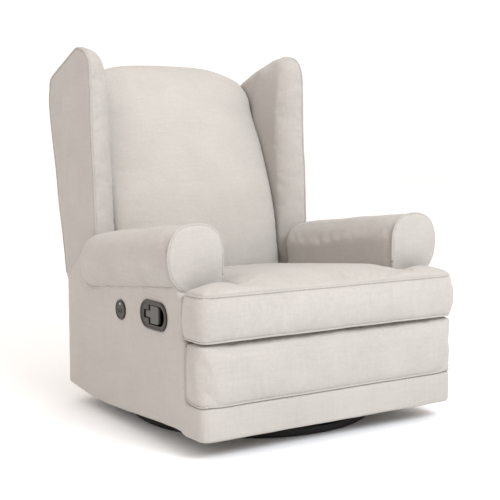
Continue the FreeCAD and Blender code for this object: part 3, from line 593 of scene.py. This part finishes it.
cover = solid("body_cover", body_sides, linen)
soften(cover, 0.005, 0)
cut_away(cover, solid("holes", side_holes, linen))
soften(cover, 0.0048, 5)
co = points(cover)
outer = np.clip((np.abs(co[:, 0]) - side_x + 0.006) / 0.006, 0, 1)
away = np.minimum(np.hypot(co[:, 1] - bezel_mid[0], co[:, 2] - bezel_mid[1]) / 0.1,
                  np.hypot(co[:, 1] - port_mid[0], co[:, 2] - port_mid[1]) / 0.05)
swell = outer * np.clip(away - 0.6, 0, 1) * np.clip((co[:, 2] - 0.05) / 0.08, 0, 1)
swell *= np.clip((rear_y - co[:, 1]) / 0.05, 0, 1) * np.clip((co[:, 1] - front_y) / 0.05, 0, 1)
co[:, 0] += np.sign(co[:, 0]) * swell * (0.0022 + 0.0012 * ripple(co, 0.16, 3))
put(cover, co)
dents(cover, 0.0006, 0.09, 5)
settle(cover, 2)
soft(cover, "chassis", 0.3, "left_side_panel", "right_side_panel", "front_plinth", "rear_panel")


# ---- footrest panel ----
# A board padded with foam under the same fabric. Piping runs down its rear edges and along
# its bottom, and the front corners are rounded like those of the plinth below it.
foot_low, foot_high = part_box("footrest_pad")
hem_z = foot_low.z - 0.0035


def footrest_block(bm):
    plan = rounded([(-side_x, footrest_rear, 0), (-side_x, front_y, 0.028), (side_x, front_y, 0.028),
                    (side_x, footrest_rear, 0)], 0.0, 8)
    prism(bm, plan, "z", hem_z, foot_high.z + 0.0065)


def footrest_flank(bm):
    side = rounded([(footrest_rear - 0.03, foot_low.z - 0.02, 0),
                    (footrest_rear + 0.02, foot_low.z - 0.02, 0),
                    (footrest_rear + 0.02, 0.2, 0), (footrest_rear, 0.19, 0),
                    (footrest_rear, 0.150, 0), (footrest_rear - 0.010, 0.1385, 0),
                    (footrest_rear - 0.03, hem_z, 0)], 0.0)
    prism(bm, side, "x", -side_x - 0.02, side_x + 0.02)


footrest = solid("footrest_cover", footrest_block, linen)
cut_away(footrest, solid("flank", footrest_flank, linen))
soften(footrest, 0.0055, 5)
co = points(footrest)
rise = np.clip((co[:, 2] - hem_z) / (foot_high.z + 0.006 - hem_z), 0, 1)
proud = np.clip((footrest_rear - 0.04 - co[:, 1]) / 0.03, 0, 1)
crown = np.sin(math.pi * rise)
inside = side_x - np.abs(co[:, 0])
co[:, 1] -= 0.005 * crown * proud * np.clip(inside / 0.06, 0, 1)
co[:, 0] += np.sign(co[:, 0]) * 0.003 * crown * np.clip((0.03 - inside) / 0.03, 0, 1)
put(footrest, co)
hem = [(-side_x, footrest_rear, 0.279), (-side_x, footrest_rear, 0.24), (-side_x, footrest_rear, 0.19),
       (-side_x, footrest_rear, 0.158), (-side_x, footrest_rear - 0.006, 0.1455),
       (-side_x, footrest_rear - 0.022, 0.1385), (-side_x, footrest_rear - 0.05, hem_z + 0.002),
       (-side_x + 0.0015, front_y + 0.018, hem_z + 0.001),
       (-side_x + 0.008, front_y + 0.007, hem_z + 0.001),
       (-side_x + 0.022, front_y, hem_z + 0.001), (-side_x + 0.06, front_y, hem_z + 0.001)]
hem += [(-x, y, z) for x, y, z in hem[::-1]]
hem = smooth_path(hem)
puff(footrest, 0.006, np.maximum(near(points(footrest), hem, 0.014),
                                 (points(footrest)[:, 1] > footrest_rear - 0.012) * 1.0))
crease(footrest, hem, 0.0035, 0.011)
dents(footrest, 0.0007, 0.12, 11)
settle(footrest, 2)
soft(footrest, "footrest", 0.5, "footrest_pad")
welt("footrest_piping", hem, footrest, "footrest")


# ---- seat cushion ----
# A T-shaped foam cushion, boxed and piped round its top and bottom edges. Its crown stands
# 30 mm above the front piping and falls towards the rear, where it tucks under the back.
seat_low, seat_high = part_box("seat_cushion")
seat_half = 0.283
bar_rear = -0.320
tee = [(-side_x, front_y, 0.03), (side_x, front_y, 0.03), (side_x, bar_rear, 0.004),
       (seat_half, bar_rear, 0.006), (seat_half, seat_high.y, 0.01), (-seat_half, seat_high.y, 0.01),
       (-seat_half, bar_rear, 0.006), (-side_x, bar_rear, 0.004)]
seat_top_edge = 0.415


def seat_block(bm):
    prism(bm, rounded(tee, 0.01, 8), "z", seat_low.z + 0.001, seat_top_edge)


seat = solid("seat_cushion_cover", seat_block, linen)
soften(seat, 0.0068, 5)


def edge_gap(co):
    """Distance in plan from the cushion's front and side edges."""
    x, y = np.abs(co[:, 0]), co[:, 1]
    stem = np.where(y > bar_rear, seat_half - x, 1.0)
    arm_side = np.where(y > bar_rear - 0.03, np.where(x > seat_half, bar_rear - y, 1.0), 1.0)
    corner = np.where((x <= seat_half) & (y < bar_rear), np.hypot(seat_half - x, bar_rear - y), 1.0)
    return np.clip(np.minimum.reduce([y - front_y, side_x - x, stem, arm_side, corner]), 0, None)


co = points(seat)
up = np.clip((co[:, 2] - seat_low.z) / (seat_top_edge - seat_low.z), 0, 1)
ridge = 0.443 - seat_fall * np.clip(co[:, 1] + 0.3065, 0, None)
top = ridge - 0.028 * np.exp(-edge_gap(co) / 0.045)
tuck = np.clip((co[:, 1] - 0.205) / 0.03, 0, 1)
top = top * (1 - tuck) + 0.338 * tuck
co[:, 2] = seat_low.z + 0.001 + up * (top - seat_low.z)
wave = np.sin(math.pi * up)
co[:, 1] -= 0.010 * wave * np.exp(-(co[:, 1] - front_y) / 0.05)
on_bar = co[:, 1] < bar_rear + 0.01
co[:, 0] += np.sign(co[:, 0]) * 0.007 * wave * np.exp(-(side_x - np.abs(co[:, 0])) / 0.04) * on_bar
put(seat, co)


def seat_seam(z, rear):
    loop = [(-seat_half, rear), (-seat_half, 0.0), (-seat_half, -0.2),
            (-seat_half, bar_rear + 0.02), (-seat_half - 0.006, bar_rear + 0.003),
            (-seat_half - 0.03, bar_rear), (-side_x + 0.03, bar_rear),
            (-side_x + 0.004, bar_rear - 0.001), (-side_x, bar_rear - 0.006),
            (-side_x, bar_rear - 0.04), (-side_x, front_y + 0.04),
            (-side_x + 0.002, front_y + 0.018), (-side_x + 0.009, front_y + 0.008),
            (-side_x + 0.022, front_y + 0.001), (-side_x + 0.06, front_y), (-0.2, front_y)]
    loop += [(-x, y) for x, y in loop[::-1]]
    is_top = z > 0.35
    return smooth_path([(x, y, z - max(0.0, seat_fall * (y + 0.3065)) * is_top) for x, y in loop])


top_seam = seat_seam(seat_top_edge, 0.19)
low_seam = seat_seam(seat_low.z + 0.003, 0.28)
co = points(seat)
pins = np.maximum(near(co, top_seam, 0.012), near(co, low_seam, 0.012))
pins = np.maximum(pins, np.clip((co[:, 1] - 0.18) / 0.03, 0, 1))
pins = np.maximum(pins, (co[:, 2] < seat_low.z + 0.006) * 1.0)
puff(seat, 0.010, pins)
crease(seat, top_seam, 0.0045, 0.013)
crease(seat, low_seam, 0.003, 0.012)
dents(seat, 0.0012, 0.17, 21)
settle(seat, 1, finer=1)
soft(seat, "chassis", 0.7, "seat_cushion")
welt("seat_top_piping", top_seam, seat, "chassis")
welt("seat_bottom_piping", low_seam[len(low_seam) // 8:-len(low_seam) // 8], seat, "chassis")


# ---- arms ----
# Foam rolls over a board, covered in the same fabric. Each roll falls towards the rear and
# ends in a rounded cap; a flat padded panel closes the front, piped round its edge.
arm_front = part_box("arm_front_panels")[0].y
arm_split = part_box("arm_front_panels")[1].y
arm_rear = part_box("left_arm_pad")[1].y
arm_inner = 0.2852


def arm_outline(foot):
    """The left arm's section in (x, z) at its front, from the foot of its inner face."""
    turn = smooth_path([(-0.2855, 0, 0.49), (-0.2865, 0, 0.525), (-0.300, 0, 0.557),
                        (-0.326, 0, 0.577), (-0.362, 0, 0.583), (-0.402, 0, 0.577),
                        (-0.430, 0, 0.555), (-0.4435, 0, 0.515), (-0.4415, 0, 0.472),
                        (-0.430, 0, 0.443), (-0.412, 0, 0.4235), (-0.398, 0, 0.410)], 0.008)
    roll = [(p[0], p[2]) for p in turn]
    return [(-0.2855, foot), (-0.2855, foot + 0.05)] + roll + [(-0.3885, min(foot, 0.40))]


def arm(side, name):
    section = np.array(arm_outline(0.345))
    centre = np.array([-0.364, 0.500])
    stations = [(arm_split, 1.0), (arm_rear - 0.032, 1.0), (arm_rear - 0.018, 0.985),
                (arm_rear - 0.008, 0.94), (arm_rear - 0.002, 0.85), (arm_rear, 0.7),
                (arm_rear + 0.001, 0.3)]

    def build(bm):
        rings = []
        for y, grow in stations:
            ring = centre + (section - centre) * grow
            drop = arm_fall * (y - arm_front)
            rings.append([bm.verts.new((side * -x, y, max(z - drop, 0.331))) for x, z in ring])
        count = len(section)
        for a, b in zip(rings, rings[1:]):
            for i in range(count):
                j = (i + 1) % count
                bm.faces.new((a[i], a[j], b[j], b[i]))
        bm.faces.new(rings[0][::-1])
        bm.faces.new(rings[-1])

    pad = solid(name, build, linen)
    soften(pad, 0.0065, 5)
    co = points(pad)
    level = co[:, 2] + arm_fall * (co[:, 1] - arm_front)
    inner_face = np.clip((0.36 - np.abs(co[:, 0])) / 0.05, 0, 1)
    co[:, 0] += side * 0.004 * np.clip((level - 0.40) / 0.06, 0, 1) * inner_face
    put(pad, co)
    pins = np.maximum((co[:, 1] < arm_split + 0.008) * 1.0, np.clip((0.43 - level) / 0.04, 0, 1))
    puff(pad, 0.004, pins, 3.0)
    co = points(pad)
    co[:, 0] = side * np.clip(side * co[:, 0], arm_inner, None)
    put(pad, co)
    front_rim = smooth_path([(side * -x, arm_split + 0.002, z - 0.0015)
                             for x, z in arm_outline(0.40)[1:-2]], 0.004)
    crease(pad, front_rim, 0.004, 0.011)
    dents(pad, 0.0012, 0.14, 31 + (side > 0))
    settle(pad, 2)
    return pad


def arm_face(side, name):
    shape = arm_outline(0.40)

    def build(bm):
        prism(bm, [(side * -x, z) for x, z in shape], "y", arm_front, arm_split + 0.001)

    panel = solid(name, build, linen)
    soften(panel, 0.004, 3)
    co = points(panel)
    middle = np.array([side * 0.364, 0.505])
    span = np.hypot(co[:, 0] - middle[0], co[:, 2] - middle[1]) / 0.085
    proud = np.clip(1 - span ** 2, 0, 1) * (co[:, 1] < arm_front + 0.006)
    co[:, 1] -= 0.0065 * proud
    co[:, 0] = side * np.clip(side * co[:, 0], arm_inner, None)
    put(panel, co)
    dents(panel, 0.0005, 0.07, 41)
    settle(panel, 2)
    return panel


for side, word in ((-1, "left"), (1, "right")):
    pad = arm(side, word + "_arm_roll")
    soft(pad, "chassis", 0.6, word + "_arm_pad")
    panel = arm_face(side, word + "_arm_front")
    soft(panel, "chassis", 0.5, "arm_front_panels")
    edge = smooth_path([(side * -x, arm_front + 0.004, z) for x, z in arm_outline(0.40)[1:-2]], 0.004)
    welt(word + "_arm_front_piping", edge, panel, "chassis")
    under = smooth_path([(side * 0.4175, y, z) for y, z in
                         ((-0.300, 0.4225), (-0.2, 0.4115), (-0.1185, 0.402), (0.0, 0.389),
                          (0.10, 0.378), (0.18, 0.371), (0.222, 0.378), (0.241, 0.400),
                          (0.2465, 0.450), (0.246, 0.490))], 0.004)
    welt(word + "_arm_roll_piping", under, pad, "chassis")


# ---- wings ----
# Padded boards beside the back. The front band is 70 mm wide low down and 35 mm at the tip,
# and piping follows the outer edge up the front, over the tip and down the rear.
wing_low, wing_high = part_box("right_wing")
wing_out = wing_high.x
wing_in = wing_low.x
wing_edge = [(0.253, 0.345), (0.253, 0.42), (0.2545, 0.54), (0.262, 0.68), (0.2735, 0.82),
             (0.279, 0.98), (0.288, 1.028), (0.312, 1.056), (0.345, 1.068), (0.370, 1.070),
             (0.395, 1.062), (0.47, 1.031), (0.548, 0.998), (0.574, 0.982), (0.5835, 0.955),
             (0.5855, 0.888), (0.548, 0.718), (0.510, 0.545), (0.4735, 0.379)]
wing_limit = 0.3868


def wing(side, name):
    def build(bm):
        profile = [tuple(p[1:]) for p in smooth_path([(0, y, z) for y, z in wing_edge], 0.02)]
        profile += [(0.4525, 0.345)]
        prism(bm, profile, "x", *sorted((side * wing_in, side * wing_out)))

    pad = solid(name, build, linen)
    soften(pad, 0.0065, 4)
    co = points(pad)
    lip = np.interp(co[:, 2], [0.345, 0.54, 0.77, 0.88, 1.0, 1.07],
                    [0.079, 0.079, 0.078, 0.076, 0.067, 0.054])
    edge_y = np.array([p[0] for p in wing_edge[:9]])
    edge_z = np.array([p[1] for p in wing_edge[:9]])
    behind = np.clip(co[:, 1] - np.interp(co[:, 2], edge_z, edge_y), 0, None)
    back = np.clip((behind - 0.04) / 0.20, 0, 1)
    back = back * back * (3 - 2 * back)
    deep = lip + (wing_out - wing_in - lip) * back
    nose_depth = 0.05
    nose = np.clip(behind / nose_depth, 0, 1)
    deep *= 0.30 + 0.70 * np.sqrt(1 - (1 - nose) ** 2)
    slant = np.interp(co[:, 1], [0.345, 0.395, 0.47, 0.548, 0.586],
                      [1.069, 1.062, 1.031, 0.998, 0.96])
    crest_depth = 0.035
    crest = np.clip((slant - co[:, 2]) / crest_depth, 0, 1)
    deep *= 0.45 + 0.55 * np.sqrt(1 - (1 - crest) ** 2)
    inward = (wing_out - np.abs(co[:, 0])) / (wing_out - wing_in)
    co[:, 0] = side * (wing_out - inward * deep)
    put(pad, co)
    rim = smooth_path([(side * wing_out, y, z) for y, z in wing_edge[1:]])
    pins = np.maximum(near(co, rim, 0.012), np.clip((co[:, 1] - 0.45) / 0.05, 0, 1))
    pins = np.maximum(pins, (co[:, 2] < 0.37) * 1.0)
    puff(pad, 0.006, pins, 3.0)
    co = points(pad)
    co[:, 0] = side * np.minimum(np.abs(co[:, 0]), wing_limit)
    put(pad, co)
    crease(pad, rim, 0.0035, 0.011)
    dents(pad, 0.0012, 0.15, 51 + (side > 0))
    settle(pad, 2)
    return pad, rim


for side, word in ((-1, "left"), (1, "right")):
    pad, rim = wing(side, word + "_wing_cover")
    soft(pad, "back", 0.5, word + "_wing")
    welt(word + "_wing_piping", rim, pad, "back")


# ---- back cushion ----
# Foam over zigzag springs, one smooth crowned cushion between the wings with an arched top
# that rolls over to the rear. Below the arms' tops it narrows to pass between them. Its fabric
# is tinted a little paler than the rest to offset the shade that the wings and arms cast on it.
pad_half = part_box("back_pad")[1].x


def back_block(bm):
    front = smooth_path([(0, 0.231, 0.345), (0, 0.233, 0.40), (0, 0.252, 0.52), (0, 0.285, 0.64),
                         (0, 0.345, 0.78), (0, 0.418, 0.90), (0, 0.472, 0.990), (0, 0.508, 1.029),
                         (0, 0.545, 1.0395), (0, 0.572, 1.025), (0, 0.578, 0.976)], 0.012)
    outline = [tuple(p[1:]) for p in front]
    outline += [(0.565, 0.976), (0.565, 0.889), (0.5225, 0.888), (0.403, 0.345)]
    prism(bm, outline, "x", -pad_half, pad_half)


linen_back = fabric("linen_back", (0.424, 0.402, 0.374))
back_pad = solid("back_cushion", back_block, linen_back)
soften(back_pad, 0.0075, 4)
co = points(back_pad)
across = np.abs(co[:, 0]) / pad_half
rear = np.interp(co[:, 2], [0.345, 0.888, 1.03], [0.403, 0.5225, 0.5225])
ahead = np.clip((rear - co[:, 1]) / 0.12, 0, 1)
sink = np.interp(co[:, 2], [0.36, 0.5, 0.7, 0.9, 1.0], [0.038, 0.048, 0.052, 0.044, 0.03])
co[:, 1] += sink * across ** 3.2 * ahead
arch = np.clip((co[:, 2] - 0.93) / 0.09, 0, 1)
co[:, 2] -= 0.054 * across ** 3.6 * arch


def pad_width(co):
    """Half width at each point: between the arms it is narrow, behind them it fills the wings."""
    room = np.clip((co[:, 1] - 0.252) / 0.02, 0, 1)
    high = np.clip((co[:, 2] - 0.47) / 0.07, 0, 1)
    return 0.2845 + room * (0.0105 + 0.005 * high)


co[:, 0] *= 1 + (pad_width(co) / pad_half - 1) * np.clip(across * 4 - 3, 0, 1)
put(back_pad, co)
pins = np.clip((co[:, 1] - rear + 0.05) / 0.03, 0, 1)
pins = np.maximum(pins, (np.abs(co[:, 0]) > pad_half - 0.004) * (ahead < 0.4))
pins = np.maximum(pins, (co[:, 2] < 0.375) * 1.0)
pins = np.maximum(pins, np.clip((across - 0.93) / 0.05, 0, 1))
puff(back_pad, 0.010, pins, 3.0)
co = points(back_pad)
co[:, 0] = np.clip(co[:, 0], -pad_width(co), pad_width(co))
put(back_pad, co)
dents(back_pad, 0.0018, 0.2, 61)
settle(back_pad, 14)
settle(back_pad, 2, finer=1)
soft(back_pad, "back", 0.7, "back_pad")


# ---- outer back ----
# A thin padded panel stapled to the rear of the back's frame, piped round its edge.
outer_half = 0.302
outer_low = 0.335
outer_bend = 0.888
outer_top = 0.975


def rear_line(z):
    """Where the rear of the back lies at a height: it leans, and stands upright above the bend."""
    return 0.4725 + (np.minimum(z, outer_bend) - 0.375) * 0.2203


def outer_block(bm):
    deep = 0.014
    foot = rear_line(outer_low)
    bend = rear_line(outer_bend)
    outline = [(foot - deep, outer_low), (foot, outer_low), (bend, outer_bend),
               (bend - 0.006, outer_top), (bend - 0.006 - deep, outer_top),
               (bend - deep, outer_bend)]
    prism(bm, outline, "x", -outer_half, outer_half)


outer_back = solid("outer_back_cover", outer_block, linen)
soften(outer_back, 0.0045, 3)
co = points(outer_back)
from_edge = np.minimum.reduce([outer_half - np.abs(co[:, 0]), co[:, 2] - outer_low, outer_top - co[:, 2]])
inset = np.clip(from_edge / 0.05, 0, 1)
co[:, 1] += 0.0045 * inset * (co[:, 1] > rear_line(co[:, 2]) - 0.008)
put(outer_back, co)
dents(outer_back, 0.0008, 0.16, 71)
settle(outer_back, 2)
soft(outer_back, "back", 0.3, "back_outer_panel")
edge = [(-0.3, 0.4695, 0.345), (-0.3, 0.5, 0.50), (-0.3, 0.545, 0.70), (-0.3, 0.584, 0.888),
        (-0.298, 0.581, 0.955), (-0.29, 0.580, 0.970), (-0.27, 0.5795, 0.9735)]
edge += [(-x, y, z) for x, y, z in edge[::-1]]
welt("outer_back_piping", smooth_path(edge), outer_back, "back")


# ---- release handle and charging port ----
# Injection-moulded cup and bezel pushed into the side panel, and a pull lever hinged in it;
# the port beside it is a moulded disc with two sockets and a small lit lens. Satin black-brown
# plastic with a fine grain and rounded rims; the lever is a little lighter and smoother.
def plastic(name, low, high, rough, grain_size):
    shade = Shade(name, Specular_IOR_Level=0.35)
    tone = shade.noise(shade.place(), 45.0, 3.0)
    grain = shade.noise(shade.place(), grain_size, 2.0)
    shade.wire("Base Color", tone.mix(low + (1,), high + (1,)))
    shade.wire("Roughness", rough + 0.12 * tone)
    worn = shade.node("ShaderNodeBevel", {"samples": 8}, {"Radius": 0.0025})
    shade.wire("Normal", shade.bump(grain, 0.00008, 0.5, worn))
    return shade.material


dark_plastic = plastic("moulded_plastic", (0.030, 0.026, 0.021), (0.044, 0.038, 0.031), 0.36, 2200.0)
lever_plastic = plastic("lever_plastic", (0.066, 0.066, 0.058), (0.085, 0.085, 0.075), 0.30, 1600.0)
finish(dark_plastic, "handle_bezel", "port_bezel", "power_inlet")
finish(lever_plastic, "release_lever")
finish(plastic("cable_jacket", (0.012, 0.012, 0.012), (0.022, 0.022, 0.022), 0.45, 900.0),
       "release_cable", "port_lead", "port_sockets", "swivel_cage")



def moulded_rim(name, length, height, middle, face, profile):
    """A moulded rim on the left side. The profile holds pairs of how far in from the
    outline and how far out of the face each of its corners lies."""
    def build(bm):
        rings = [[bm.verts.new((face - out, y, z))
                  for y, z in capsule(length - 2 * inward, height - 2 * inward, middle)]
                 for inward, out in profile]
        for ring, following in zip(rings, rings[1:] + rings[:1]):
            for i in range(len(ring)):
                bm.faces.new((ring[i - 1], ring[i], following[i], following[i - 1]))

    made = solid(name, build, dark_plastic)
    made.data.shade_smooth()
    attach(made, "chassis")


bezel_size = bezel_high - bezel_low
moulded_rim("handle_bezel_rim", bezel_size.y + 0.001, bezel_size.z + 0.001, bezel_mid, bezel_low.x,
            [(0, -0.0015), (0.0002, 0.0004), (0.0011, 0.0017), (0.0028, 0.0025), (0.0045, 0.0024),
             (0.0060, 0.0015), (0.0068, 0.0002), (0.0070, -0.0012)])
port_size = port_high.z - port_low.z
moulded_rim("port_bezel_rim", port_size + 0.0010001, port_size + 0.001, port_mid, port_low.x,
            [(0, -0.0012), (0.0002, 0.0003), (0.0010, 0.0012), (0.0022, 0.0016), (0.0036, 0.0012),
             (0.0045, 0.0002), (0.0047, -0.0008)])

shade = Shade("indicator_lens", Emission_Strength=1.2)
glow = shade.noise(shade.place(), 900.0)
shade.wire("Base Color", glow.mix((0.75, 0.82, 0.9, 1), (0.9, 0.95, 1.0, 1)))
shade.wire("Emission Color", glow.mix((0.8, 0.88, 1.0, 1), (1.0, 1.0, 1.0, 1)))
finish(shade.material, "port_light")
